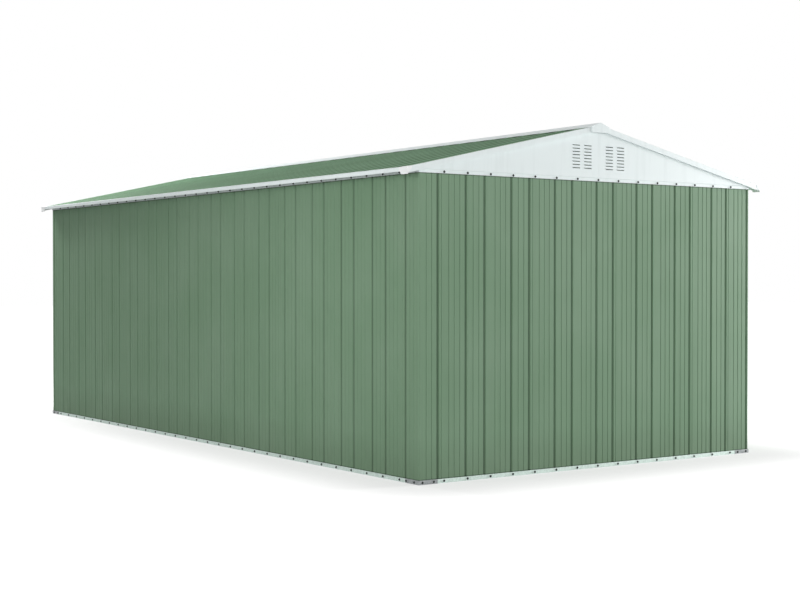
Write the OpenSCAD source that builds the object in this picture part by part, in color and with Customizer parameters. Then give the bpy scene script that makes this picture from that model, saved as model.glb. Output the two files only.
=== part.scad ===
// Metal storage shed, 10 by 20 ft class: ribbed steel walls and roof on a
// folded base rail, with vented white gables and white roof trims.
// +X is the right-hand long side, +Y is the rear gable, +Z is up.
// The origin is on the ground at the middle of the shed.

/* [Overall size] */
// Width over the base rails, across the shed (mm)
shed_w = 3050; // [2293:378.5:3807]
// Length over the base rails, from front to rear (mm)
shed_l = 6100; // [3829:757:7614]
// Height of the walls up to the lower edge of the gables (mm)
wall_h = 1975; // [1700:5:2400]
// Rise of the roof for each mm of run
roof_rise = 0.22; // [0.15:0.01:0.35]
// Overhang of the roof at each eave (mm)
eave_over = 100; // [60:5:160]
// Overhang of the roof at each gable (mm)
rake_over = 18; // [12:1:40]

/* [Wall cladding] */
// Width taken up by one wide band and one narrow band of the wall sheets (mm)
band_pitch = 378.5; // [378.5]
// Width of a wide band, between the middles of its deep grooves (mm)
band_wide = 225; // [215:1:230]
// Width of a deep groove at its mouth (mm)
groove_w = 22; // [18:1:24]
// Width of the floor of a deep groove (mm)
groove_floor = 12; // [8:1:14]
// Depth of a deep groove (mm)
groove_d = 11; // [8:0.5:14]
// Width of a fine groove (mm)
line_w = 8; // [6:0.5:9]
// Depth of a fine groove (mm)
line_d = 3; // [1.5:0.5:4]
// Sheet thickness (mm)
sheet_t = 0.8; // [0.6:0.1:1.2]

/* [Roof cladding] */
// Spacing of the roof ribs (mm)
roof_pitch = 190.625; // [190.625]
// Height of a roof rib (mm)
roof_rib_h = 16; // [12:1:24]

/* [Rails and trims] */
// Height of the base rail (mm)
base_h = 27; // [22:1:45]
// Thickness of the folded rails and trims (mm)
fold_t = 1; // [0.8:0.1:1.5]
// Height of the face of the rake trims (mm)
rake_h = 38; // [30:1:50]
// Height of the face of the eave trims (mm)
eave_h = 26; // [22:1:40]

/* [Doorway] */
// Height of the doorway (mm)
door_h = 1850; // [1600:5:1900]
// Number of pairs of bands across the doorway
door_bands = 4; // [2:2:4]

/* [Hidden] */
hw = shed_w / 2;
hl = shed_l / 2;
slope_a = atan(roof_rise);
// Outer face of the wall sheets, measured in from the base rail's face
clad_in = fold_t + 0.3;
// A wall lap starts this far past the middle of a groove, and is this wide
lap_in = groove_w / 2 + 5;
lap_w = 9;
// Wall sheets stand in the base rail and end behind the gable or top rail
sheet_z0 = fold_t + 0.3;
sheet_z1 = wall_h + 22;
// Distance from a corner to the first deep groove
band_first = 150;
// Fine grooves: distances after the first groove of a wide band, and after the
// first groove of a narrow band
wide_lines = [86, 130, 174];
narrow_lines = [58, 105];
// Height of the rib tops of the roof: over the wall line, and at the middle
eave_z = wall_h + 49.5;
ridge_z = eave_z + roof_rise * hw;
roof_t = 0.8;
// A roof lap stands this much proud of the sheet below, and is this wide
roof_lap_up = roof_t + 0.2;
roof_lap_w = 14;
roof_half = hw + eave_over;
rake_y = hl + rake_over;
roof_len = (roof_half - 6) / cos(slope_a);
deck_drop = (roof_rib_h + roof_t) / cos(slope_a);
door_w = door_bands * band_pitch;
jamb_w = 34;
n_rear = floor((shed_w - 21) / band_pitch);
n_side = floor((shed_l - 21) / band_pitch);
n_half = 2 * round(n_side / 4);
gable_out = 3;
flange_h = 20;
vent_rows = 8;
vent_pitch = 22.1;
vent_z = 86;
vent_w = 68;
vent_h = 7;
vent_in = 100;
vent_out = 206;
roof_top = 96;
roof_side = 12;
// Roof corner caps: height below the ribs, slant on the gable face, and level
// part and slant on the eave face
cap_h = 42.5;
cap_gable_run = 31;
cap_gable_rise = 38;
cap_level = 64;
cap_side_run = 23;
cap_side_rise = 22;
cap_t = 1.6;
ridge_half = 80;
ridge_up = 18;
// The lips of the ridge cap lie over the rake trims, and end in a low hem
ridge_hem = 5;
ridge_lip = 0.6 + fold_t;
end_depth = 6;
beam_h = 42;
purlin_h = beam_h + roof_rise * 16;
leaf_t = groove_d + sheet_t + 3.2;
leaf_lip = 30;
green = [0.50, 0.62, 0.52];
roof_green = [0.40, 0.54, 0.42];
white = [0.93, 0.96, 0.96];
zinc = [0.78, 0.82, 0.83];
steel = [0.58, 0.60, 0.61];

// Points of one groove centred at s: width of its mouth, of its floor, and depth
function groove(s, mouth, floor_w, depth) = [
    [s - mouth / 2, 0], [s - floor_w / 2, -depth],
    [s + floor_w / 2, -depth], [s + mouth / 2, 0]
];

function deep(s) = groove(s, groove_w, groove_floor, groove_d);
function fine(s) = groove(s, line_w, line_w / 3, line_d);

// Middle of the groove that starts the wide band k and the narrow band k
function wide_s(k) = band_first + k * band_pitch;
function narrow_s(k) = wide_s(k) + band_wide;

// Outer line of one wide band and of one narrow band after its deep groove
function wide_band(k) = [for (d = wide_lines) for (p = fine(wide_s(k) + d)) p];
function narrow_band(k) = [for (d = narrow_lines) for (p = fine(narrow_s(k) + d)) p];

function reversed(pts) = [for (i = [len(pts) - 1:-1:0]) pts[i]];

// Closed section of a sheet from its outer line and its thickness
function section(pts, t) = concat(pts, reversed([for (p = pts) [p[0], p[1] - t]]));

// A sheet starts under its neighbour, beside the deep groove k, and dips once
// past the neighbour's edge
function lap_start(k) =
    let (s = wide_s(k) + lap_in, under = -sheet_t - 0.2)
    [
        [s, under], [s + lap_w - 1.5, under], [s + lap_w + 1, -line_d],
        [s + lap_w + 3, -line_d], [s + lap_w + 6.5, 0]
    ];

// Outer line of a sheet from the deep groove a to the deep groove b
function sheet_line(a, b) = concat(
    lap_start(a),
    [for (k = [a:b - 1]) for (p = concat(
        k > a ? deep(wide_s(k)) : [],
        wide_band(k), deep(narrow_s(k)), narrow_band(k)
    )) p],
    deep(wide_s(b)),
    [[wide_s(b) + lap_in + lap_w, 0]]
);

// One wall laid out in plan: x runs along the wall from its first corner,
// y is outward from the face of the sheets.
module wall_sheet(a, b) {
    translate([0, 0, sheet_z0])
        linear_extrude(sheet_z1 - sheet_z0)
            polygon(section(sheet_line(a, b), sheet_t));
}

// Placement of the plan layouts: the right wall starts at the rear right
// corner and the rear wall starts there too. The others are half a turn round.
module on_right_wall() {
    translate([hw - clad_in, hl, 0]) rotate([0, 0, -90]) children();
}

module on_rear_wall() {
    translate([hw, hl - clad_in, 0]) mirror([1, 0, 0]) children();
}

module half_turn() {
    rotate([0, 0, 180]) children();
}

// Folded base rail, open upwards, that the wall sheets stand in
module base_channel(length) {
    inner_h = base_h * 0.7;
    w = clad_in + groove_d + sheet_t + 3;
    rotate([90, 0, 0])
        linear_extrude(length, center = true)
            polygon([
                [0, 0], [0, base_h], [-fold_t, base_h], [-fold_t, fold_t],
                [-w, fold_t], [-w, inner_h], [-w - fold_t, inner_h], [-w - fold_t, 0]
            ]);
}

module base_rail_right() {
    color(zinc) translate([hw, 0, 0]) base_channel(shed_l - 70);
}

module base_rail_left() {
    half_turn() base_rail_right();
}

module base_rail_rear() {
    color(zinc) translate([0, hl, 0]) rotate([0, 0, 90]) base_channel(shed_w - 70);
}

module base_rail_front() {
    half_turn() base_rail_rear();
}

// Corner pieces that join the base rails, lapped outside them
module base_corner(leg) {
    color(steel) translate([hw, hl, 0]) union() {
        translate([-leg, 0.2, 0]) cube([leg + 0.2 + fold_t, fold_t, base_h + 1]);
        translate([0.2, -leg, 0]) cube([fold_t, leg + 0.2 + fold_t, base_h + 1]);
        translate([-34.6, -34.6, 0]) cube([34.8 + fold_t, 34.8 + fold_t, fold_t]);
    }
}

module base_corner_brackets() {
    base_corner(147);
    half_turn() base_corner(147);
    mirror([1, 0, 0]) base_corner(147);
    half_turn() mirror([1, 0, 0]) base_corner(147);
}

// Round bend of a corner panel, between faces that meet at the outer corner x, y
module corner_bend(x, y, sx) {
    bend = 10;
    cx = x - sx * bend;
    cy = y - bend;
    difference() {
        translate([sx > 0 ? cx : x, cy, sheet_z0]) cube([bend, bend, sheet_z1 - sheet_z0]);
        difference() {
            translate([cx - bend - 1, cy - bend - 1, -1]) cube([2 * bend + 2, 2 * bend + 2, sheet_z1 + 2]);
            translate([cx, cy, -2]) cylinder(r = bend, h = sheet_z1 + 4, $fn = 48);
        }
        translate([cx, cy, -1]) cylinder(r = bend - sheet_t, h = sheet_z1 + 2, $fn = 48);
    }
}

// Flat distance from an outer corner to the end of its bend
bend_end = clad_in + 9.9;

// Corner panel at the rear right: one sheet bent round the corner, from the
// first deep groove of the right wall to the first of the rear wall
module corner_panel_rear_right() {
    color(green) union() {
        on_right_wall() corner_leg();
        on_rear_wall() corner_leg();
        corner_bend(hw - clad_in, hl - clad_in, 1);
    }
}

module corner_leg() {
    leg(concat(
        [[bend_end, 0]],
        fine(band_first - 92), fine(band_first - 50), deep(band_first),
        [[band_first + lap_in + lap_w, 0]]
    ));
}

module leg(line) {
    translate([0, 0, sheet_z0])
        linear_extrude(sheet_z1 - sheet_z0)
            polygon(section(line, sheet_t));
}

module corner_panel_front_left() {
    half_turn() corner_panel_rear_right();
}

// Corner panel at the rear left: the last wide band of the rear wall and of the
// left wall, with the deep grooves beside the corner
module corner_panel_rear_left() {
    color(green) union() {
        on_rear_wall() end_leg(n_rear - 1, shed_w);
        half_turn() on_right_wall() end_leg(n_side - 1, shed_l);
        corner_bend(-hw + clad_in, hl - clad_in, -1);
    }
}

module corner_panel_front_right() {
    half_turn() corner_panel_rear_left();
}

module end_leg(k, length) {
    leg(concat(lap_start(k), wide_band(k), deep(narrow_s(k)), [[length - bend_end, 0]]));
}

// Long walls: sheets two pairs of bands wide, lapped one over the next
module right_wall_rear_sheets() {
    color(green) on_right_wall()
        for (k = [0:2:n_half - 2])
            wall_sheet(k, k + 2);
}

module right_wall_front_sheets() {
    color(green) on_right_wall()
        for (k = [n_half:2:n_side - 2])
            wall_sheet(k, min(k + 2, n_side - 1));
}

module left_wall_rear_sheets() {
    half_turn() right_wall_front_sheets();
}

module left_wall_front_sheets() {
    half_turn() right_wall_rear_sheets();
}

module rear_wall_sheets() {
    color(green) on_rear_wall()
        for (k = [0:2:n_rear - 2])
            wall_sheet(k, min(k + 2, n_rear - 1));
}

// Front wall: the same sheets as the rear wall, cut away at the doorway
module front_sheets_all() {
    half_turn() rear_wall_sheets();
}

module front_wall_right_sheets() {
    color(green) intersection() {
        front_sheets_all();
        translate([door_w / 2 + fold_t + 0.4, -hl - 1, 0]) cube([hw, 60, sheet_z1 + 10]);
    }
}

module front_wall_left_sheets() {
    color(green) intersection() {
        front_sheets_all();
        translate([-door_w / 2 - fold_t - 0.4 - hw, -hl - 1, 0]) cube([hw, 60, sheet_z1 + 10]);
    }
}

module front_wall_head_sheets() {
    color(green) intersection() {
        front_sheets_all();
        translate([-door_w / 2 - fold_t, -hl - 1, door_h + fold_t + 0.4])
            cube([door_w + 2 * fold_t, 60, sheet_z1]);
    }
}

// Top rail of a long wall: a folded cap over the sheets that carries the roof.
// Its face runs on to the corners, past the ends of the folds.
module top_rail_right() {
    w = clad_in + groove_d + sheet_t + 3;
    top = deck_z(hw);
    color(zinc) rotate([90, 0, 0]) union() {
        linear_extrude(shed_l - 2 * (clad_in + groove_d + 10), center = true)
            polygon([
                [hw, wall_h], [hw, top], [hw - w - fold_t, top + roof_rise * (w + fold_t)],
                [hw - w - fold_t, wall_h - 12], [hw - w, wall_h - 12],
                [hw - w, top + roof_rise * w - fold_t * 1.03],
                [hw - fold_t, top + roof_rise * fold_t - fold_t * 1.03], [hw - fold_t, wall_h]
            ]);
        linear_extrude(shed_l - 2 * (fold_t + 0.3), center = true)
            polygon([
                [hw, wall_h], [hw, top], [hw - fold_t, top + (roof_rise - 1.03) * fold_t],
                [hw - fold_t, wall_h]
            ]);
    }
}

module top_rail_left() {
    half_turn() top_rail_right();
}

// Height of the rib tops of the roof at distance x from the middle
function rib_z(x) = ridge_z - roof_rise * abs(x);
// Height just under the roof sheets
function deck_z(x) = rib_z(x) - deck_drop - 0.3;

// Vented gable panels: a screwed lower flange, then a face folded outward
module vent_slots() {
    for (col = [vent_in, vent_out])
        for (row = [0:vent_rows - 1])
            translate([col, 0, wall_h + vent_z + row * vent_pitch])
                rotate([90, 0, 0])
                    linear_extrude(60, center = true)
                        union() {
                            square([vent_w - vent_h, vent_h], center = true);
                            translate([(vent_w - vent_h) / 2, 0]) circle(d = vent_h, $fn = 24);
                            translate([-(vent_w - vent_h) / 2, 0]) circle(d = vent_h, $fn = 24);
                        }
}

module vent_hoods() {
    for (col = [vent_in, vent_out])
        for (row = [0:vent_rows - 1])
            translate([col - vent_w / 2, hl + gable_out, wall_h + vent_z + row * vent_pitch])
                rotate([90, 0, 90])
                    linear_extrude(vent_w)
                        polygon([[-0.5, 6.5], [3.2, 2.2], [3.2, 1.2], [-0.5, 5.3]]);
}

module gable_half() {
    difference() {
        union() {
            intersection() {
                translate([0.2, 0, 0]) rotate([90, 0, 90])
                    linear_extrude(hw - 0.2)
                        polygon([
                            [hl - fold_t, wall_h], [hl, wall_h], [hl, wall_h + flange_h],
                            [hl + gable_out, wall_h + flange_h + 5], [hl + gable_out, ridge_z + 50],
                            [hl + gable_out - fold_t, ridge_z + 50],
                            [hl + gable_out - fold_t, wall_h + flange_h + 5.3],
                            [hl - fold_t, wall_h + flange_h + 0.3]
                        ]);
                translate([0, hl + 20, 0]) rotate([90, 0, 0])
                    linear_extrude(60)
                        polygon([
                            [0, wall_h - 1], [hw, wall_h - 1], [hw, deck_z(hw)], [0, deck_z(0)]
                        ]);
            }
        }
        translate([0, hl, 0]) vent_slots();
    }
}

module gable_rear_right() {
    color(white) union() {
        gable_half();
        vent_hoods();
    }
}

module gable_rear_left() {
    mirror([1, 0, 0]) gable_rear_right();
}

module gable_front_right() {
    half_turn() gable_rear_left();
}

module gable_front_left() {
    half_turn() gable_rear_right();
}

// A plate that follows the roof slope from x0 to x1, between two heights
// above the rib tops, as deep as d along Y from y0
module slope_plate(x0, x1, low, high, y0, d) {
    translate([0, y0 + d, 0]) rotate([90, 0, 0])
        linear_extrude(d)
            polygon([
                [x0, rib_z(x0) + low], [x1, rib_z(x1) + low],
                [x1, rib_z(x1) + high], [x0, rib_z(x0) + high]
            ]);
}

// Rake trim: a folded channel over the end of the roof sheets
module rake_trim_rear_right() {
    x1 = roof_half;
    low = 0.3 + fold_t - rake_h;
    color(white) union() {
        slope_plate(0.3, x1, low, 0.3 + fold_t, rake_y - fold_t, fold_t);
        slope_plate(0.3, x1, 0.3, 0.3 + fold_t, rake_y - 32, 32);
        slope_plate(0.3, x1, low, low + fold_t, hl + gable_out + 0.3, rake_over - gable_out - 0.3);
    }
}

module rake_trim_rear_left() {
    mirror([1, 0, 0]) rake_trim_rear_right();
}

module rake_trim_front_right() {
    half_turn() rake_trim_rear_left();
}

module rake_trim_front_left() {
    half_turn() rake_trim_rear_right();
}

// Roof sheets: four ribs each, ribs running down the slope
function roof_rib(y) = [
    [y - roof_top / 2 - roof_side, -roof_rib_h], [y - roof_top / 2, 0],
    [y + roof_top / 2, 0], [y + roof_top / 2 + roof_side, -roof_rib_h]
];

function roof_valley(y) = [
    [y - 16, -roof_rib_h], [y - 12, -roof_rib_h + 2], [y - 8, -roof_rib_h],
    [y + 8, -roof_rib_h], [y + 12, -roof_rib_h + 2], [y + 16, -roof_rib_h]
];

// Outer line of sheet k along Y, counted from the middle of the shed
function roof_line(k, n) = concat(
    [[k * 4 * roof_pitch + 0.2, -roof_rib_h]],
    [for (i = [0:3]) for (p = concat(
        roof_rib((k * 4 + i + 0.5) * roof_pitch),
        i < 3 ? roof_valley((k * 4 + i + 1) * roof_pitch) : []
    )) p],
    k == n - 1
        ? [[hl - 22, -roof_rib_h], [rake_y - 34, 0], [rake_y - fold_t - 0.4, 0]]
        : [
            [(k + 1) * 4 * roof_pitch - 2, -roof_rib_h],
            [(k + 1) * 4 * roof_pitch - 1.2, -roof_rib_h + roof_lap_up],
            [(k + 1) * 4 * roof_pitch + roof_lap_w, -roof_rib_h + roof_lap_up]
        ]
);

module roof_sheet(line) {
    translate([0, 0, ridge_z])
        rotate([0, slope_a, 0])
            rotate([90, 0, 90])
                translate([0, 0, 12])
                    linear_extrude(roof_len - 12)
                        polygon(section(line, roof_t));
}

module roof_half_rear() {
    n = round(shed_l / (8 * roof_pitch));
    for (k = [0:n - 1])
        roof_sheet(roof_line(k, n));
}

module roof_right_rear_sheets() {
    color(roof_green) roof_half_rear();
}

module roof_right_front_sheets() {
    mirror([0, 1, 0]) roof_right_rear_sheets();
}

module roof_left_rear_sheets() {
    mirror([1, 0, 0]) roof_right_rear_sheets();
}

module roof_left_front_sheets() {
    half_turn() roof_right_rear_sheets();
}

// Eave trim: a folded channel that closes the lower ends of the roof sheets
module eave_trim_right() {
    x0 = roof_half - fold_t;
    top = 0.3 + fold_t;
    low = -deck_drop - 0.3 - fold_t;
    color(white) rotate([90, 0, 0])
        linear_extrude(2 * (rake_y - 32.4), center = true)
            polygon([
                [roof_half, rib_z(roof_half) + top], [roof_half, rib_z(roof_half) + top - eave_h],
                [x0, rib_z(x0) + top - eave_h], [x0, rib_z(x0) + low],
                [x0 - 20, rib_z(x0 - 20) + low], [x0 - 20, rib_z(x0 - 20) + low + fold_t],
                [x0, rib_z(x0) + low + fold_t], [x0, rib_z(x0) + 0.3],
                [x0 - 20, rib_z(x0 - 20) + 0.3], [x0 - 20, rib_z(x0 - 20) + top]
            ]);
}

module eave_trim_left() {
    half_turn() eave_trim_right();
}

// Moulded caps over the four corners of the roof. Outline in height of one
// face: level under the corner, up a slant, then upright. Grown all round by g.
module cap_outline(level, run, rise, g) {
    bottom = rib_z(roof_half) - cap_h;
    slant = sqrt(run * run + rise * rise);
    x1 = -level - run - g;
    polygon([
        [0.3 + g, bottom - g], [-level - g * (slant - run) / rise, bottom - g],
        [x1, bottom + ((run + g) * rise - g * slant) / run],
        [x1, bottom + 160], [0.3 + g, bottom + 160]
    ]);
}

// Space under the sloping top plate of a cap, from height z0 up
module cap_room(z0, rise, reach_x, reach_y) {
    x0 = roof_half - reach_x;
    x1 = roof_half + 10;
    translate([0, rake_y + 10, 0]) rotate([90, 0, 0])
        linear_extrude(reach_y + 10)
            polygon([[x0, z0], [x1, z0], [x1, rib_z(x1) + rise], [x0, rib_z(x0) + rise]]);
}

module cap_form(g, rise) {
    bottom = rib_z(roof_half) - cap_h;
    intersection() {
        translate([roof_half, rake_y + 50, 0]) rotate([90, 0, 0])
            linear_extrude(250) cap_outline(0, cap_gable_run, cap_gable_rise, g);
        translate([roof_half - 150, rake_y, 0]) rotate([90, 0, 90])
            linear_extrude(250) cap_outline(cap_level, cap_side_run, cap_side_rise, g);
        cap_room(bottom - 20, rise, 300, 300);
    }
}

module corner_cap() {
    rise = 0.6 + fold_t;
    color(white) difference() {
        cap_form(cap_t, rise + cap_t);
        cap_form(0, rise);
        intersection() {
            cap_room(rib_z(roof_half) - rake_h - 0.5, rise, 300, 300);
            translate([roof_half - 200, rake_y - 200, 0]) cube([200.3, 200.3, ridge_z]);
        }
    }
}

module eave_corner_caps() {
    corner_cap();
    half_turn() corner_cap();
    mirror([1, 0, 0]) corner_cap();
    mirror([0, 1, 0]) corner_cap();
}

// Outline of the ridge cap from lip to lip, lowered by d
function ridge_line(d) = [
    [ridge_half - d, rib_z(ridge_half) + ridge_lip + ridge_hem - d * 0.7],
    [0, rib_z(0) + ridge_up - d * 1.06],
    [-ridge_half + d, rib_z(ridge_half) + ridge_lip + ridge_hem - d * 0.7]
];

// Ridge cap: a strip folded along the ridge, with a hem down each lip
module ridge_cap() {
    lip = rib_z(ridge_half) + ridge_lip;
    color(white) rotate([90, 0, 0])
        linear_extrude(2 * rake_y, center = true)
            polygon(concat(
                [[ridge_half, lip]], ridge_line(0),
                [[-ridge_half, lip], [-ridge_half + fold_t, lip + 0.22]],
                reversed(ridge_line(fold_t)), [[ridge_half - fold_t, lip + 0.22]]
            ));
}

// End caps of the ridge: shallow trays that cover the end of the ridge cap and
// the joint of the rake trims
module end_plate(d) {
    low = rib_z(0) - 52 + d;
    polygon(concat([[-ridge_half + d, low], [ridge_half - d, low]], ridge_line(d)));
}

module ridge_end_cap() {
    color(white) translate([0, rake_y + 0.3 + end_depth, 0]) rotate([90, 0, 0]) difference() {
        linear_extrude(end_depth) end_plate(0);
        translate([0, 0, fold_t]) linear_extrude(end_depth) end_plate(fold_t);
    }
}

module ridge_end_caps() {
    ridge_end_cap();
    half_turn() ridge_end_cap();
}

// Folded hat beam under the ridge, from gable to gable
module ridge_beam() {
    b = 42;
    color(zinc) rotate([90, 0, 0])
        linear_extrude(2 * (hl + gable_out - fold_t - 0.4), center = true)
            polygon([
                [0, deck_z(0)], [b, deck_z(b)], [b, deck_z(b) - beam_h], [b - 16, deck_z(b) - beam_h],
                [b - 16, deck_z(b) - beam_h + 1.2], [b - 1.2, deck_z(b) - beam_h + 1.2],
                [b - 1.2, deck_z(b) - 1.3], [0, deck_z(0) - 1.3],
                [-b + 1.2, deck_z(b) - 1.3], [-b + 1.2, deck_z(b) - beam_h + 1.2],
                [-b + 16, deck_z(b) - beam_h + 1.2], [-b + 16, deck_z(b) - beam_h],
                [-b, deck_z(b) - beam_h], [-b, deck_z(b)]
            ]);
}

// Purlins: folded angles under the roof sheets, half way down each slope
module purlin_right() {
    x0 = hw * 0.52;
    x1 = x0 + 38;
    color(zinc) rotate([90, 0, 0])
        linear_extrude(2 * (hl + gable_out - fold_t - 0.4), center = true)
            polygon([
                [x0, deck_z(x0)], [x1, deck_z(x1)], [x1, deck_z(x1) - 1.2],
                [x0 + 1.2, deck_z(x0 + 1.2) - 1.2], [x0 + 1.2, deck_z(x0) - purlin_h], [x0, deck_z(x0) - purlin_h]
            ]);
}

module purlins() {
    purlin_right();
    half_turn() purlin_right();
}

// Roof truss: folded rafters under the purlins with a straight tie
module truss_web(t) {
    x1 = hw - clad_in - groove_d - sheet_t - 3 - fold_t - 0.3;
    z0 = deck_z(0) - purlin_h - 0.3;
    color(zinc) union() {
        rotate([90, 0, 0]) linear_extrude(t)
            polygon([
                [0, z0], [x1, z0 - roof_rise * x1], [x1, z0 - roof_rise * x1 - 40],
                [0, z0 - 40], [-x1, z0 - roof_rise * x1 - 40], [-x1, z0 - roof_rise * x1]
            ]);
        rotate([90, 0, 0]) linear_extrude(28)
            polygon([
                [0, z0], [x1, z0 - roof_rise * x1], [x1, z0 - roof_rise * x1 - 1.2],
                [0, z0 - 1.2], [-x1, z0 - roof_rise * x1 - 1.2], [-x1, z0 - roof_rise * x1]
            ]);
        translate([-hw * 0.62, -t, z0 - roof_rise * hw * 0.62 - 40]) cube([hw * 1.24, t, 30]);
    }
}

module roof_trusses() {
    for (k = [-1:1])
        translate([0, k * shed_l / 4, 0]) truss_web(1.5);
}

// Door frame: folded jambs and head that wrap the edges of the doorway
module door_frame() {
    x0 = door_w / 2;
    z0 = base_h + 0.3;
    color(white) union() {
        for (side = [-1, 1]) {
            translate([side > 0 ? x0 : -x0 - jamb_w, -hl, z0]) cube([jamb_w, fold_t, door_h - z0 + jamb_w]);
            translate([side > 0 ? x0 : -x0 - fold_t, -hl, z0]) cube([fold_t, 40, door_h - z0 + fold_t]);
        }
        translate([-x0 - jamb_w, -hl, door_h]) cube([door_w + 2 * jamb_w, fold_t, jamb_w]);
        translate([-x0 - fold_t, -hl, door_h]) cube([door_w + 2 * fold_t, 40, fold_t]);
    }
}

// Door leaf: a grooved sheet held in a folded edge channel
module leaf_edge(w, h) {
    difference() {
        cube([w, leaf_t, h]);
        translate([fold_t, fold_t, fold_t]) cube([w - 2 * fold_t, leaf_t - 2 * fold_t, h - 2 * fold_t]);
        translate([leaf_lip, -1, leaf_lip]) cube([w - 2 * leaf_lip, leaf_t + 2, h - 2 * leaf_lip]);
    }
}

module leaf_sheet(w, h) {
    c = w / 2;
    line = concat(
        [[fold_t + 0.4, 0]],
        fine(c - band_wide / 2 - 95), fine(c - band_wide / 2 - 50), deep(c - band_wide / 2),
        fine(c - 22), fine(c + 22),
        deep(c + band_wide / 2), fine(c + band_wide / 2 + 50), fine(c + band_wide / 2 + 95),
        [[w - fold_t - 0.4, 0]]
    );
    translate([0, fold_t + 0.4, fold_t + 0.4])
        linear_extrude(h - 2 * fold_t - 0.8)
            mirror([0, 1, 0]) polygon(section(line, sheet_t));
}

module door_leaf_right() {
    w = door_w / 2 - 4.5;
    z0 = base_h + 4;
    h = door_h - z0 - 4;
    color(green) translate([1.5, -hl, z0]) union() {
        leaf_edge(w, h);
        leaf_sheet(w, h);
    }
}

module door_leaf_left() {
    mirror([1, 0, 0]) door_leaf_right();
}

// Butt hinges laid across the gap between leaf and jamb
module door_hinge(z) {
    x = door_w / 2 - 1.5;
    color(steel) translate([x, -hl, z]) union() {
        translate([-27, -2, 0]) cube([54, 2, 76]);
        translate([0, -4, 0]) cylinder(r = 4, h = 76, $fn = 32);
    }
}

module door_hinges() {
    for (z = [220, door_h / 2, door_h - 260]) {
        door_hinge(z);
        mirror([1, 0, 0]) door_hinge(z);
    }
}

// Pull handles on the meeting edges of the two leaves
module door_handle() {
    color(steel) translate([17, -hl, door_h * 0.5]) difference() {
        translate([0, -34, 0]) cube([12, 34, 170]);
        translate([-1, -26, 8]) cube([14, 20, 154]);
        translate([-1, -8, 30]) cube([14, 20, 110]);
    }
}

module door_handles() {
    door_handle();
    mirror([1, 0, 0]) door_handle();
}

base_rail_right();
base_rail_left();
base_rail_rear();
base_rail_front();
base_corner_brackets();
corner_panel_rear_right();
corner_panel_front_left();
corner_panel_rear_left();
corner_panel_front_right();
right_wall_rear_sheets();
right_wall_front_sheets();
left_wall_rear_sheets();
left_wall_front_sheets();
rear_wall_sheets();
front_wall_right_sheets();
front_wall_left_sheets();
front_wall_head_sheets();
top_rail_right();
top_rail_left();
gable_rear_right();
gable_rear_left();
gable_front_right();
gable_front_left();
rake_trim_rear_right();
rake_trim_rear_left();
rake_trim_front_right();
rake_trim_front_left();
roof_right_rear_sheets();
roof_right_front_sheets();
roof_left_rear_sheets();
roof_left_front_sheets();
eave_trim_right();
eave_trim_left();
eave_corner_caps();
ridge_cap();
ridge_end_caps();
ridge_beam();
purlins();
roof_trusses();
door_frame();
door_leaf_right();
door_leaf_left();
door_hinges();
door_handles();
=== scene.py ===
import math

import bmesh
import bpy
from mathutils import Matrix, Vector


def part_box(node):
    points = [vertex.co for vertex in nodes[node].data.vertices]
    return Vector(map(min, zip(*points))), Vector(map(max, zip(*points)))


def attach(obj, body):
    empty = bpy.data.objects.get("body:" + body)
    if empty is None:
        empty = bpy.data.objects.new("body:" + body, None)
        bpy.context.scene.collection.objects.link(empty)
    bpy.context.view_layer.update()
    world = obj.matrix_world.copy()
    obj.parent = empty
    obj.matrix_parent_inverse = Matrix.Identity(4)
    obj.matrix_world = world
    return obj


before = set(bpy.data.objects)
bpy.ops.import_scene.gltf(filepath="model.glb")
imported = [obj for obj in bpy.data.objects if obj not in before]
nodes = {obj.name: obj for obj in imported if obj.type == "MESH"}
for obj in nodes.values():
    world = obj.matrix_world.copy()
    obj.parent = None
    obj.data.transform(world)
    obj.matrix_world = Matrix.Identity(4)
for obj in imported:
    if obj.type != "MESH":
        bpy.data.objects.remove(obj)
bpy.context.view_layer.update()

# Wall sheets and corner panels: galvanised steel about half a millimetre thick,
# coil-coated in a matt sage green and rolled into deep and fine grooves. They
# They stand in the base rails. The floors of the deep grooves carry painted shade, and a painted
# shadow line runs along the rails' top and the gables' lower edge.
FRESH_SAGE = "#759377"
FADED_SAGE = "#7C987E"
RAIN_STREAK = "#5C6F5E"
SPLASHED_DUST = "#5E6B58"
PAINTED_SHADE_GREEN = "#3F4E42"
STREAKS_ACROSS = 65.0  # in a metre, so each is about 15 mm wide
STREAKS_DOWN = 1.0  # in a metre
SPLASH_HEIGHT = 0.3
SPLASH_RAGGED = 0.08  # the most that the splashes' upper edge strays, up or down
FOOT_DUST = 0.3
GROOVE_FLOOR = (0.0085, 0.0105)  # behind the flat face: where painted shade starts, and where it is full
GROOVE_SHADE = 0.85
SHORT_WALL_GROOVE_SHADE = 0.45
SHORT_WALL_DEPTH = (0.012, 0.02)  # past this, behind its flat face, a short wall has ended
LEDGE_LINE = (0.003, 0.009)  # from the ledge: where its line is full, and where it has faded out
LEDGE_SHADE = 0.75


def linear(hex_colour):
    """An sRGB hex colour as linear red, green, blue and full alpha."""
    parts = [int(hex_colour[i:i + 2], 16) / 255 for i in (1, 3, 5)]
    bent = [c / 12.92 if c <= 0.04045 else ((c + 0.055) / 1.055) ** 2.4 for c in parts]
    return (*bent, 1.0)


def add(tree, kind, inputs=None, **settings):
    """Adds one node. Settings are its own properties, and inputs are values or outputs to link."""
    made = tree.nodes.new("ShaderNode" + kind)
    for name, value in settings.items():
        setattr(made, name, value)
    for socket, value in (inputs or {}).items():
        if isinstance(value, bpy.types.NodeSocket):
            tree.links.new(value, made.inputs[socket])
        else:
            made.inputs[socket].default_value = value
    return made


def new_finish(name):
    """A new material, with its node tree, its shader and the point on the object."""
    material = bpy.data.materials.new(name)
    material.use_nodes = True
    tree = material.node_tree
    where = add(tree, "TexCoord").outputs["Object"]
    return material, tree, tree.nodes["Principled BSDF"], where


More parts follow.
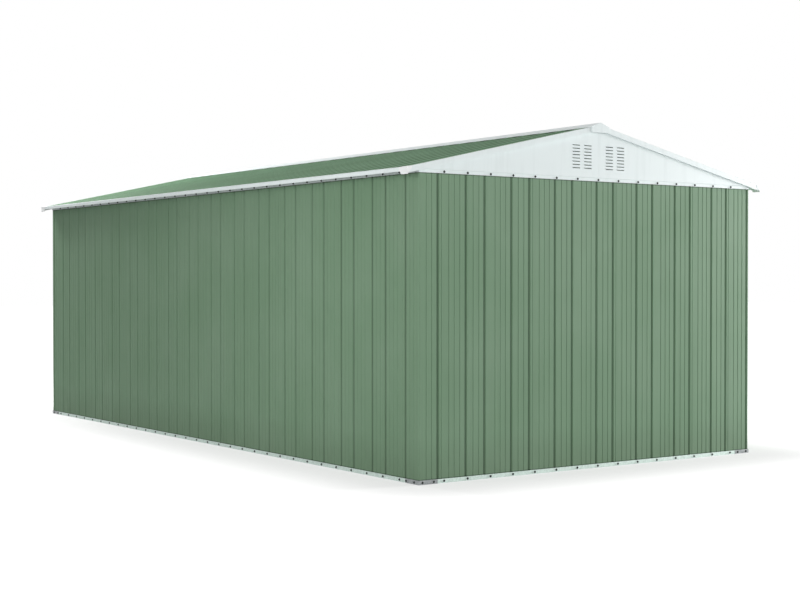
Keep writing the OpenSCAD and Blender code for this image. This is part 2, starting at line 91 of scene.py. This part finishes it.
def coil_coated_steel(name, fresh, faded, streaks, foot_dust):
    """Polyester coil coating: an even matt colour, a little bleached in broad patches, with
    fine rain streaks down the sheet and dust splashed up from the ground."""
    material, tree, shader, where = new_finish(name)

    # Bleached patches are about 0.7 m across
    patch = add(tree, "TexNoise", {"Vector": where, "Scale": 1.4, "Detail": 3.0})
    patch_amount = add(tree, "MapRange", {
        "Value": patch.outputs["Fac"], "From Min": 0.35, "From Max": 0.65})
    coat = add(tree, "Mix", {
        0: patch_amount.outputs["Result"], 6: linear(fresh), 7: linear(faded)}, data_type="RGBA")

    streak_space = add(tree, "Mapping", {"Vector": where, "Scale": streaks})
    streak = add(tree, "TexNoise", {
        "Vector": streak_space.outputs["Vector"], "Scale": 1.0, "Detail": 2.0})
    streak_amount = add(tree, "MapRange", {
        "Value": streak.outputs["Fac"], "From Min": 0.45, "From Max": 0.75, "To Max": 0.12})
    streaked = add(tree, "Mix", {
        0: streak_amount.outputs["Result"], 6: coat.outputs[2], 7: linear(RAIN_STREAK)},
        data_type="RGBA")

    # The splashes' upper edge is ragged, in spots of about 0.1 m
    place = add(tree, "SeparateXYZ", {"Vector": where})
    ragged = add(tree, "TexNoise", {"Vector": where, "Scale": 9.0, "Detail": 4.0})
    edge = add(tree, "Math", {
        0: ragged.outputs["Fac"], 1: -2 * SPLASH_RAGGED, 2: SPLASH_RAGGED},
        operation="MULTIPLY_ADD")
    splash_z = add(tree, "Math", {
        0: place.outputs["Z"], 1: edge.outputs["Value"]}, operation="ADD")
    splash = add(tree, "MapRange", {
        "Value": splash_z.outputs["Value"], "From Max": SPLASH_HEIGHT,
        "To Min": foot_dust, "To Max": 0.0})
    splashed = add(tree, "Mix", {
        0: splash.outputs["Result"], 6: streaked.outputs[2], 7: linear(SPLASHED_DUST)},
        data_type="RGBA")
    tree.links.new(splashed.outputs[2], shader.inputs["Base Color"])

    # The coating's grain is about 1 mm; it is drawn at 3 mm so that it shows
    grain = add(tree, "TexNoise", {"Vector": where, "Scale": 330.0, "Detail": 2.0})
    rough = add(tree, "MapRange", {
        "Value": grain.outputs["Fac"], "From Min": 0.3, "From Max": 0.7,
        "To Min": 0.56, "To Max": 0.68})
    tree.links.new(rough.outputs["Result"], shader.inputs["Roughness"])
    shader.inputs["Specular IOR Level"].default_value = 0.15
    shader.inputs["IOR"].default_value = 1.5

    # Thin sheet bows by about a millimetre every 0.3 m
    bow = add(tree, "TexNoise", {"Vector": where, "Scale": 3.2, "Detail": 1.0})
    relief = add(tree, "Math", {
        0: grain.outputs["Fac"], 1: 0.03, 2: bow.outputs["Fac"]}, operation="MULTIPLY_ADD")
    bump = add(tree, "Bump", {
        "Height": relief.outputs["Value"], "Distance": 0.004, "Strength": 0.5})
    tree.links.new(bump.outputs["Normal"], shader.inputs["Normal"])
    return material


def lay_painted_shade(material, amount, shade_colour):
    """Covers a finish with a painted shade colour, as densely as the amount says at each point."""
    tree = material.node_tree
    base_colour = tree.nodes["Principled BSDF"].inputs["Base Color"]
    cleaner = base_colour.links[0].from_socket
    shaded = add(tree, "Mix", {0: amount, 6: cleaner, 7: linear(shade_colour)}, data_type="RGBA")
    tree.links.new(shaded.outputs[2], base_colour)


def place_on_object(tree):
    """The X, Y and Z of a point on the object, as the outputs of one node."""
    where = add(tree, "TexCoord").outputs["Object"]
    return add(tree, "SeparateXYZ", {"Vector": where}).outputs


def shade_groove_floors(material, long_wall_face, short_wall_face):
    """Painted shade on the floors of the deep grooves, lighter on the short walls. A face is the
    distance of a wall's flat face from the middle of the shed."""
    tree = material.node_tree
    place = place_on_object(tree)
    behind = []
    for axis, face in (("X", long_wall_face), ("Y", short_wall_face)):
        out = add(tree, "Math", {0: place[axis]}, operation="ABSOLUTE")
        inward = add(tree, "Math", {0: face, 1: out.outputs["Value"]}, operation="SUBTRACT")
        behind.append(inward.outputs["Value"])
    depth = add(tree, "Math", {0: behind[0], 1: behind[1]}, operation="MINIMUM")
    groove_shade_amount = add(tree, "MapRange", {
        "Value": behind[1], "From Min": SHORT_WALL_DEPTH[0], "From Max": SHORT_WALL_DEPTH[1],
        "To Min": SHORT_WALL_GROOVE_SHADE, "To Max": GROOVE_SHADE})
    dust = add(tree, "MapRange", {
        "Value": depth.outputs["Value"], "From Min": GROOVE_FLOOR[0], "From Max": GROOVE_FLOOR[1],
        "To Max": groove_shade_amount.outputs["Result"]})
    lay_painted_shade(material, dust.outputs["Result"], PAINTED_SHADE_GREEN)


def shade_ledge(material, ledge_z):
    """A painted shadow line on the sheet, where a folded ledge at this height covers it."""
    tree = material.node_tree
    off = add(tree, "Math", {0: place_on_object(tree)["Z"], 1: ledge_z}, operation="SUBTRACT")
    near = add(tree, "Math", {0: off.outputs["Value"]}, operation="ABSOLUTE")
    line = add(tree, "MapRange", {
        "Value": near.outputs["Value"], "From Min": LEDGE_LINE[0], "From Max": LEDGE_LINE[1],
        "To Min": LEDGE_SHADE, "To Max": 0.0})
    lay_painted_shade(material, line.outputs["Result"], PAINTED_SHADE_GREEN)


def paint(material, *names):
    """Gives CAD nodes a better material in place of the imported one."""
    for name in names:
        for slot in nodes[name].material_slots:
            slot.material = material


rail_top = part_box("base_rail_rear")[1].z
flange_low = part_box("gable_rear_right")[0].z
wall_streaks = (STREAKS_ACROSS, STREAKS_ACROSS, STREAKS_DOWN)
wall_coat = coil_coated_steel(
    "sage_coil_coated_steel", FRESH_SAGE, FADED_SAGE, wall_streaks, FOOT_DUST)
# Painted shade on the floors of the deep grooves
shade_groove_floors(wall_coat, -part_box("left_wall_rear_sheets")[0].x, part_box("rear_wall_sheets")[1].y)
# Painted shadow lines along the top of the base rails and the lower edge of the gables
shade_ledge(wall_coat, rail_top)
shade_ledge(wall_coat, flange_low)
paint(wall_coat, *[name for name in nodes if "_wall_" in name or "corner_panel" in name])

# Door leaves: the same coated sheet, with an edge channel folded round each leaf.
# They hang closed in the front wall, and their grooves are on the front only.
LEAF_CHANNEL_STEP = 0.0014  # the flat of the sheet lies this far behind the leaf's front
NO_FACE = 9.0  # further out than the shed reaches
leaf_coat = coil_coated_steel(
    "sage_coil_coated_leaf_steel", FRESH_SAGE, FADED_SAGE, wall_streaks, FOOT_DUST)
# The floors of the leaves' grooves carry the same painted shade, at the short walls' lighter
# amount
shade_groove_floors(leaf_coat, NO_FACE, -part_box("door_leaf_right")[0].y - LEAF_CHANNEL_STEP)
paint(leaf_coat, "door_leaf_right", "door_leaf_left")

# Roof sheets: the same coated steel in a deeper green, with ribs down the slope.
# The rib flanks and the valleys between the ribs carry painted shade, and a near-black painted
# shadow lies in the valleys under the lip of the ridge cap.
ROOF_RISE = 0.22
RIB_TOP_END = 0.0117  # the rib tops end this far from the middle of the shed
RIB_FLANK = (0.0003, 0.0013)  # below the rib tops: where painted shade starts, and where it is full
RIB_SHADE = 0.45
CAP_SHADOW_REACH = 0.04  # down the slope from the ridge cap's lip
FRESH_ROOF_GREEN = "#6C9470"
FADED_ROOF_GREEN = "#749C79"
ROOF_SHADE_GREEN = "#3F5742"
CAP_SHADOW_BLACK = "#151D17"


def shade_ribs(material, top, covered):
    """Painted shade below the rib tops, and a near-black painted shadow on it near the ridge,
    under the cap's lip. Top is the height that the rib tops' plane has at the middle, and covered
    the half width of the ridge cap."""
    tree = material.node_tree
    place = place_on_object(tree)
    out = add(tree, "Math", {0: place["X"]}, operation="ABSOLUTE")
    level = add(tree, "Math", {
        0: out.outputs["Value"], 1: ROOF_RISE, 2: place["Z"]}, operation="MULTIPLY_ADD")
    below = add(tree, "Math", {0: top, 1: level.outputs["Value"]}, operation="SUBTRACT")
    dust = add(tree, "MapRange", {
        "Value": below.outputs["Value"], "From Min": RIB_FLANK[0], "From Max": RIB_FLANK[1],
        "To Max": RIB_SHADE})
    # Painted shade on the rib flanks and in the valleys
    lay_painted_shade(material, dust.outputs["Result"], ROOF_SHADE_GREEN)
    near_cap = add(tree, "MapRange", {
        "Value": out.outputs["Value"], "From Min": covered, "From Max": covered + CAP_SHADOW_REACH,
        "To Min": 1.0 / RIB_SHADE, "To Max": 0.0})
    cap_shadow = add(tree, "Math", {
        0: near_cap.outputs["Result"], 1: dust.outputs["Result"]}, operation="MULTIPLY")
    # Near-black painted shadow in the valleys under the ridge cap's lip
    lay_painted_shade(material, cap_shadow.outputs["Value"], CAP_SHADOW_BLACK)


roof_high_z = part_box("roof_right_rear_sheets")[1].z
roof_streaks = (STREAKS_DOWN, STREAKS_ACROSS, STREAKS_DOWN)
roof_coat = coil_coated_steel(
    "green_coil_coated_roof_steel", FRESH_ROOF_GREEN, FADED_ROOF_GREEN, roof_streaks,
    foot_dust=0.0)
shade_ribs(roof_coat, roof_high_z + ROOF_RISE * RIB_TOP_END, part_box("ridge_cap")[1].x)
paint(roof_coat, *[
    name for name in nodes if name.startswith("roof_") and name.endswith("_sheets")])

# Gables, rake trims, eave trims, ridge cap and door frame: folded steel with a
# smooth white polyester powder coat, slightly cool. Faint grime lies on it in
# thin runs.
CLEAN_WHITE = "#E9F2F2"
GRIMY_WHITE = "#CED9D8"


def white_powder_coat():
    """Polyester powder coat: smooth and half-matt, with a faint orange-peel surface."""
    material, tree, shader, where = new_finish("white_powder_coated_steel")
    # Runs are about 35 mm wide and half a metre long
    run_space = add(tree, "Mapping", {"Vector": where, "Scale": (28.0, 28.0, 2.0)})
    runs = add(tree, "TexNoise", {
        "Vector": run_space.outputs["Vector"], "Scale": 1.0, "Detail": 4.0})
    amount = add(tree, "MapRange", {
        "Value": runs.outputs["Fac"], "From Min": 0.5, "From Max": 0.8, "To Max": 0.25})
    colour = add(tree, "Mix", {
        0: amount.outputs["Result"], 6: linear(CLEAN_WHITE), 7: linear(GRIMY_WHITE)},
        data_type="RGBA")
    tree.links.new(colour.outputs[2], shader.inputs["Base Color"])
    # The orange peel is 2 to 3 mm across
    peel = add(tree, "TexNoise", {"Vector": where, "Scale": 400.0, "Detail": 2.0})
    rough = add(tree, "MapRange", {
        "Value": peel.outputs["Fac"], "From Min": 0.3, "From Max": 0.7,
        "To Min": 0.32, "To Max": 0.42})
    tree.links.new(rough.outputs["Result"], shader.inputs["Roughness"])
    bump = add(tree, "Bump", {
        "Height": peel.outputs["Fac"], "Distance": 0.0002, "Strength": 0.4})
    tree.links.new(bump.outputs["Normal"], shader.inputs["Normal"])
    shader.inputs["IOR"].default_value = 1.5
    return material


white_parts = ("gable_", "rake_trim_", "eave_trim_", "ridge_cap", "ridge_end_caps")
white_coat = white_powder_coat()
paint(white_coat, "door_frame", *[name for name in nodes if name.startswith(white_parts)])

# Eave corner caps: moulded white nylon, pushed over the ends of the trims. It is
# whiter than the painted steel beside it and has a fine spark-eroded grain.
NYLON_WHITE = "#F6F8F8"
NYLON_FLOW_MARK = "#EFF2F2"


def moulded_nylon():
    """Injection-moulded nylon: an even white with faint flow marks, and a matt grain."""
    material, tree, shader, where = new_finish("white_moulded_nylon")
    # Flow marks are about 50 mm apart
    flow = add(tree, "TexNoise", {"Vector": where, "Scale": 18.0, "Detail": 3.0})
    colour = add(tree, "Mix", {
        0: flow.outputs["Fac"], 6: linear(NYLON_WHITE), 7: linear(NYLON_FLOW_MARK)},
        data_type="RGBA")
    tree.links.new(colour.outputs[2], shader.inputs["Base Color"])
    # The grain is 0.2 mm; it is drawn at 2 mm so that it shows
    grain = add(tree, "TexNoise", {"Vector": where, "Scale": 500.0, "Detail": 2.0})
    bump = add(tree, "Bump", {
        "Height": grain.outputs["Fac"], "Distance": 0.0002, "Strength": 0.5})
    tree.links.new(bump.outputs["Normal"], shader.inputs["Normal"])
    shader.inputs["Roughness"].default_value = 0.5
    shader.inputs["IOR"].default_value = 1.53
    return material


paint(moulded_nylon(), "eave_corner_caps")

# Base rails, top rails and roof framing: bare galvanised steel, folded from strip.
# New zinc is pale and half-bright, with soft-edged crystals. The top rails get a paler, less
# metallic copy of it: a painted highlight that lifts them out of the eave's shadow.
CRYSTAL_EDGE = 0.008  # the most that a crystal's edge wanders


def galvanised_steel(name, bright, dull, roughness, metallic):
    """Hot-dip zinc: each crystal reflects a little differently, under a thin chalky film."""
    material, tree, shader, where = new_finish(name)
    # Crystals are about 10 mm across, with edges that wander by a few millimetres
    wobble = add(tree, "TexNoise", {"Vector": where, "Scale": 60.0, "Detail": 2.0})
    bent = add(tree, "VectorMath", {
        0: wobble.outputs["Color"], 1: (CRYSTAL_EDGE,) * 3, 2: where}, operation="MULTIPLY_ADD")
    crystals = add(tree, "TexVoronoi", {"Vector": bent.outputs["Vector"], "Scale": 95.0})
    tone = add(tree, "SeparateColor", {"Color": crystals.outputs["Color"]})
    colour = add(tree, "Mix", {
        0: tone.outputs["Red"], 6: linear(bright), 7: linear(dull)}, data_type="RGBA")
    tree.links.new(colour.outputs[2], shader.inputs["Base Color"])
    rough = add(tree, "MapRange", {
        "Value": tone.outputs["Green"], "To Min": roughness - 0.06, "To Max": roughness + 0.08})
    tree.links.new(rough.outputs["Result"], shader.inputs["Roughness"])
    # The film lies in patches of about 40 mm
    film = add(tree, "TexNoise", {"Vector": where, "Scale": 25.0, "Detail": 4.0})
    bump = add(tree, "Bump", {
        "Height": film.outputs["Fac"], "Distance": 0.0006, "Strength": 0.4})
    tree.links.new(bump.outputs["Normal"], shader.inputs["Normal"])
    shader.inputs["Metallic"].default_value = metallic
    return material


rail_zinc = galvanised_steel(
    "galvanised_rail_steel", bright="#D2E2DB", dull="#C0D0C9", roughness=0.5, metallic=0.35)
paint(rail_zinc, *[name for name in nodes if name.startswith("base_rail_")])
paint(rail_zinc, "ridge_beam", "purlins", "roof_trusses")
# A paler, less metallic copy of the rail zinc: painted light for the top rails in the eave's
# shadow
lightened_top_rail_zinc = galvanised_steel(
    "lightened_galvanised_top_rail_steel", bright="#EAF0F1", dull="#DBE2E4", roughness=0.55, metallic=0.15)
paint(lightened_top_rail_zinc, *[name for name in nodes if name.startswith("top_rail_")])

# Corner brackets, hinges and handles: thicker pressed steel with a greyer zinc
# plating. The brackets are screwed on outside the base rails' corners.
bracket_zinc = galvanised_steel(
    "zinc_plated_bracket_steel", bright="#A3A7A8", dull="#8B9091", roughness=0.42, metallic=0.6)
paint(bracket_zinc, "base_corner_brackets", "door_hinges", "door_handles")

# Self-drilling screws of the base rails: a rubber washer under a flanged hexagon
# head of blackened steel. They stand in one row, two to each 378.5 mm of wall, and
# hold the wall sheets to the rails.
SCREW_PITCH = 0.18925
LONG_WALL_SCREWS = 31
SHORT_WALL_SCREWS = 15
STEEL = 0
RUBBER = 1
# Each layer: sides, radius, share of the radius left at its top, thickness, finish
SCREW_LAYERS = (
    (16, 0.0085, 0.86, 0.0016, RUBBER),
    (16, 0.0068, 0.80, 0.0011, STEEL),
    (6, 0.0046, 0.93, 0.0042, STEEL),
)
HEAD_TURN = 37  # degrees from one head to the next, so that they don't all stand alike
HEAD_SYMMETRY = 60
SCREW_BLACK = "#2E3332"
WORN_STEEL = "#6A706F"
RUBBER_BLACK = "#1C1F1E"
DUSTY_RUBBER = "#343938"


def blackened_steel():
    """Phosphate-blackened steel: nearly black, half-matt, worn brighter on high spots."""
    material, tree, shader, where = new_finish("blackened_screw_steel")
    # Worn spots are 1 to 2 mm across
    wear = add(tree, "TexNoise", {"Vector": where, "Scale": 700.0, "Detail": 3.0})
    worn = add(tree, "MapRange", {
        "Value": wear.outputs["Fac"], "From Min": 0.5, "From Max": 0.75, "To Max": 0.6})
    colour = add(tree, "Mix", {
        0: worn.outputs["Result"], 6: linear(SCREW_BLACK), 7: linear(WORN_STEEL)},
        data_type="RGBA")
    tree.links.new(colour.outputs[2], shader.inputs["Base Color"])
    shader.inputs["Metallic"].default_value = 0.8
    shader.inputs["Roughness"].default_value = 0.5
    return material


def washer_rubber():
    """EPDM rubber: matt black, greyed slightly by dust in spots of about 5 mm."""
    material, tree, shader, where = new_finish("washer_rubber")
    dust = add(tree, "TexNoise", {"Vector": where, "Scale": 200.0, "Detail": 3.0})
    colour = add(tree, "Mix", {
        0: dust.outputs["Fac"], 6: linear(RUBBER_BLACK), 7: linear(DUSTY_RUBBER)},
        data_type="RGBA")
    tree.links.new(colour.outputs[2], shader.inputs["Base Color"])
    shader.inputs["Roughness"].default_value = 0.8
    shader.inputs["IOR"].default_value = 1.52
    return material


def mesh_of(name, shape):
    """The mesh that a finished bmesh makes."""
    mesh = bpy.data.meshes.new(name)
    shape.to_mesh(mesh)
    shape.free()
    return mesh


def stand(name, data):
    """Puts a mesh, lamp or camera into the scene, at the origin."""
    holder = bpy.data.objects.new(name, data)
    bpy.context.scene.collection.objects.link(holder)
    return holder


def screw_shape():
    """One screw head standing on its washer, pointing up from the origin."""
    shape = bmesh.new()
    base = 0.0
    for sides, radius, left_at_top, thickness, finish in SCREW_LAYERS:
        before = set(shape.faces)
        bmesh.ops.create_cone(
            shape, cap_ends=True, segments=sides, radius1=radius, radius2=radius * left_at_top,
            depth=thickness, matrix=Matrix.Translation((0, 0, base + thickness / 2)))
        for face in set(shape.faces) - before:
            face.material_index = finish
        base += thickness
    return mesh_of("screw_shape", shape)


screw_finishes = {STEEL: blackened_steel(), RUBBER: washer_rubber()}
one_screw = screw_shape()


def screws(name, places):
    """Joined screws: each place is a point on a surface and the way it faces."""
    group = bmesh.new()
    for count, (point, facing) in enumerate(places):
        before = len(group.verts)
        group.from_mesh(one_screw)
        group.verts.ensure_lookup_table()
        standing = Vector(facing).to_track_quat("Z", "Y").to_matrix().to_4x4()
        turned = Matrix.Rotation(math.radians(HEAD_TURN * count % HEAD_SYMMETRY), 4, "Z")
        bmesh.ops.transform(
            group, matrix=Matrix.Translation(point) @ standing @ turned,
            verts=group.verts[before:])
    mesh = mesh_of(name, group)
    for finish in (STEEL, RUBBER):
        mesh.materials.append(screw_finishes[finish])
    piece = stand(name, mesh)
    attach(piece, "root")


def row(count):
    """Places along a wall of screws at the screw pitch, centred on the wall."""
    return [(k - (count - 1) / 2) * SCREW_PITCH for k in range(count)]


half_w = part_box("base_rail_right")[1].x
half_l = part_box("base_rail_rear")[1].y
rail_mid_z = rail_top / 2
long_row = row(LONG_WALL_SCREWS)
short_row = row(SHORT_WALL_SCREWS)
screws("base_rail_screws", [
    ((side * half_w, y, rail_mid_z), (side, 0, 0)) for side in (1, -1) for y in long_row] + [
    ((x, side * half_l, rail_mid_z), (0, side, 0)) for side in (1, -1) for x in short_row])

# Screws of the corner brackets: the same blackened screws with washers. Two go
# through each leg of a bracket into the base rails behind it.
LONG_LEG = (0.048, 0.137)  # from the corner, on the long walls
SHORT_LEG = (0.029, 0.118)  # from the corner, on the short walls
bracket_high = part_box("base_corner_brackets")[1]
bracket_places = []
for side_x in (1, -1):
    for side_y in (1, -1):
        for along in SHORT_LEG:
            bracket_places.append((
                (side_x * (half_w - along), side_y * bracket_high.y, rail_mid_z),
                (0, side_y, 0)))
        for along in LONG_LEG:
            bracket_places.append((
                (side_x * bracket_high.x, side_y * (half_l - along), rail_mid_z),
                (side_x, 0, 0)))
screws("base_bracket_screws", bracket_places)

# Screws of the top rails and of the gables' lower flanges: the same rows again,
# all at one height, ten millimetres above the flanges' lower edge. They hold the
# tops of the wall sheets.
FLANGE_EDGE = 0.010
top_screw_z = flange_low + FLANGE_EDGE
screws("top_rail_screws", [
    ((side * half_w, y, top_screw_z), (side, 0, 0)) for side in (1, -1) for y in long_row])
screws("gable_screws", [
    ((x, side * half_l, top_screw_z), (0, side, 0)) for side in (1, -1) for x in short_row])

# Screws of the door frame: the same screws, through the flange of the white steel
# frame into the front wall. They run up both jambs and along the head.
FRAME_EDGE = 0.017
JAMB_END = 0.05
JAMB_SCREWS = 9
DOOR_HEAD_SCREWS = 7
frame_low, frame_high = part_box("door_frame")
jamb_x = frame_high.x - FRAME_EDGE
head_z = frame_high.z - FRAME_EDGE
jamb_step = (head_z - frame_low.z - 2 * JAMB_END) / (JAMB_SCREWS - 1)
screws("door_frame_screws", [
    ((side * jamb_x, -half_l, frame_low.z + JAMB_END + k * jamb_step), (0, -1, 0))
    for side in (1, -1) for k in range(JAMB_SCREWS)] + [
    ((x, -half_l, head_z), (0, -1, 0)) for x in row(DOOR_HEAD_SCREWS)])

# Floor: a plain pale matt ground under the shed. It glows white to the eye, and less so close to
# the walls: a painted shadow at their foot, over the real shadow that the matt paint catches.
FLOOR_GREY = "#B4B4B4"
FLOOR_HALF = 60.0
FLOOR_DROP = 0.0005  # keeps the floor off the faces that stand on it
PAINTED_SHADOW_GLOW = 0.5
GLOW_FAR = 1.0
PAINTED_SHADOW_REACH = 1.3


def seen_rays(tree):
    """1 for what the eye sees, also in gloss and through glass, and 0 for what lights the shed."""
    rays = add(tree, "LightPath").outputs
    mirrored = add(tree, "Math", {
        0: rays["Is Camera Ray"], 1: rays["Is Glossy Ray"]}, operation="MAXIMUM")
    return add(tree, "Math", {
        0: mirrored.outputs["Value"], 1: rays["Is Transmission Ray"]},
        operation="MAXIMUM").outputs["Value"]


def pale_floor():
    """Matt grey paint, with a glow that grows with the distance from the walls; the dimmer glow
    near them is a painted shadow.
    """
    material = bpy.data.materials.new("pale_floor")
    material.use_nodes = True
    tree = material.node_tree
    tree.nodes.clear()
    where = add(tree, "TexCoord").outputs["Object"]
    folded = add(tree, "VectorMath", {0: where}, operation="ABSOLUTE")
    past = add(tree, "VectorMath", {
        0: folded.outputs["Vector"], 1: (half_w, half_l, 0.0)}, operation="SUBTRACT")
    outside = add(tree, "VectorMath", {
        0: past.outputs["Vector"], 1: (0.0, 0.0, 0.0)}, operation="MAXIMUM")
    far = add(tree, "VectorMath", {0: outside.outputs["Vector"]}, operation="LENGTH")
    # The glow falls close to the walls: a painted shadow at their foot
    level = add(tree, "MapRange", {
        "Value": far.outputs["Value"], "From Max": PAINTED_SHADOW_REACH,
        "To Min": PAINTED_SHADOW_GLOW, "To Max": GLOW_FAR}, interpolation_type="SMOOTHERSTEP")
    glow = add(tree, "Math", {
        0: seen_rays(tree), 1: level.outputs["Result"]}, operation="MULTIPLY")
    light = add(tree, "Emission", {"Strength": glow.outputs["Value"]})
    matt = add(tree, "BsdfDiffuse", {"Color": linear(FLOOR_GREY)})
    both = add(tree, "AddShader", {0: matt.outputs["BSDF"], 1: light.outputs["Emission"]})
    add(tree, "OutputMaterial", {"Surface": both.outputs["Shader"]})
    return material


floor_shape = bmesh.new()
bmesh.ops.create_grid(
    floor_shape, x_segments=1, y_segments=1, size=FLOOR_HALF,
    matrix=Matrix.Translation((0, 0, -FLOOR_DROP)))
floor_mesh = mesh_of("floor", floor_shape)
floor_mesh.materials.append(pale_floor())
stand("floor", floor_mesh)

# Studio: an even white surround and six softboxes. A strong low one rakes the rear
# gable from its far side, weaker ones face the gable, the corner and the long side,
# and a high one lights the far end of the roof.
SKY_LIGHT = 0.25
WHITE = (1, 1, 1, 1)
world = bpy.data.worlds.new("studio")
bpy.context.scene.world = world
world.use_nodes = True
sky = world.node_tree
sky.nodes.clear()
sky_soft = add(sky, "Background", {"Color": WHITE, "Strength": SKY_LIGHT})
sky_white = add(sky, "Background", {"Color": WHITE, "Strength": 1.0})
sky_mix = add(sky, "MixShader", {
    0: seen_rays(sky), 1: sky_soft.outputs["Background"], 2: sky_white.outputs["Background"]})
add(sky, "OutputWorld", {"Surface": sky_mix.outputs["Shader"]})


def softbox(name, place, target, size, watts):
    """A square softbox aimed at a point."""
    light = bpy.data.lights.new(name, "AREA")
    light.shape = "SQUARE"
    light.size = size
    light.energy = watts
    holder = stand(name, light)
    holder.location = place
    aim = Vector(target) - Vector(place)
    holder.rotation_euler = aim.to_track_quat("-Z", "Y").to_euler()


softbox("softbox_raking", (-9.0, 5.0, 2.2), (0.0, 3.0, 1.2), 3.0, 1110.0)
softbox("softbox_gable", (4.0, 13.0, 2.5), (0.5, 3.0, 1.2), 4.0, 275.0)
softbox("softbox_front", (8.0, 10.0, 3.0), (1.0, 1.0, 1.2), 3.0, 125.0)
softbox("softbox_quarter", (11.0, 6.0, 3.0), (1.0, 0.0, 1.2), 3.0, 70.0)
softbox("softbox_side", (5.0, 2.5, 2.0), (1.5, 1.5, 1.0), 2.0, 46.0)
softbox("softbox_roof", (2.0, -5.5, 5.0), (0.8, -2.0, 2.1), 2.0, 345.0)

# Camera: at chest height, 9 m from the rear right corner of the shed, looking
# nearly level past that corner through a short telephoto lens.
CAMERA_PLACE = (6.876, 10.480, 1.291)
CAMERA_HEADING = -125.02  # degrees from +X, turning left
CAMERA_PITCH = -0.76
CAMERA_LENS = 65.43
CAMERA_REACH = 200.0
SENSOR_WIDTH = 36.0
camera = bpy.data.cameras.new("camera")
camera.sensor_fit = "HORIZONTAL"
camera.sensor_width = SENSOR_WIDTH
camera.lens = CAMERA_LENS
camera.clip_end = CAMERA_REACH
camera_holder = stand("camera", camera)
camera_holder.location = CAMERA_PLACE
camera_holder.rotation_euler = (
    math.radians(90 + CAMERA_PITCH), 0.0, math.radians(CAMERA_HEADING - 90))
bpy.context.scene.camera = camera_holder
bpy.context.scene.view_settings.view_transform = "Standard"
